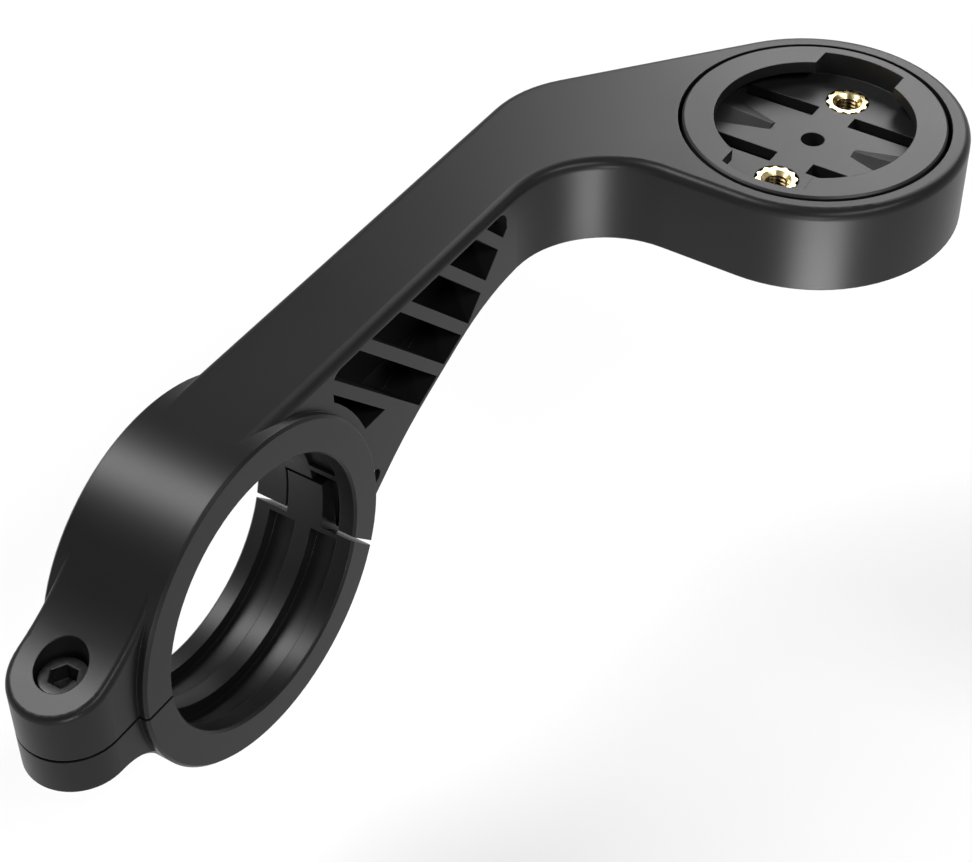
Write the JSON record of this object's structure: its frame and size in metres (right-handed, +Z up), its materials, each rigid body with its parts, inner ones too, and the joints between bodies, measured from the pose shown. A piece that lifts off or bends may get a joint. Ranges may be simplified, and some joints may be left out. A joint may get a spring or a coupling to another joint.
{
  "type": "bike computer mount",
  "caption": "Out-front handlebar mount: hinged clamp ring, single offset arm with slanted windows and a round quarter-turn socket for a bike computer.",
  "frame": {"origin": "centre of the handlebar bore", "axes": "+X forward to the computer's head, +Y to the rider's left along the handlebar, +Z up"},
  "size_m": [0.1425, 0.0586, 0.0446],
  "materials": {
    "black_nylon": "satin, moulded",
    "puck_nylon": "satin, moulded",
    "black_steel": "black oxide",
    "brass": "machined"
  },
  "bodies": {
    "mount": {"arm": "black_nylon", "puck": "puck_nylon", "insert_front": "brass", "insert_rear": "brass", "puck_screw": "black_steel"},
    "jaw": {"clamp_jaw": "black_nylon", "jaw_insert": "brass"},
    "bolt": {"clamp_bolt": "black_steel"}
  },
  "joints": [
    {"name": "jaw_open", "type": "hinge", "parent": "mount", "child": "jaw", "pos_m": [0.0227, 0, -0.003], "axis": [0, -1, 0], "range_deg": [0, 75]},
    {"name": "bolt_draw", "type": "slide", "parent": "mount", "child": "bolt", "axis": [0, 0, 1], "range_m": [0, 0.0376]}
  ],
  "couplings": [
    {"joint": "bolt_draw", "follows": "jaw_open", "m_per_rad": 0.0286}
  ]
}
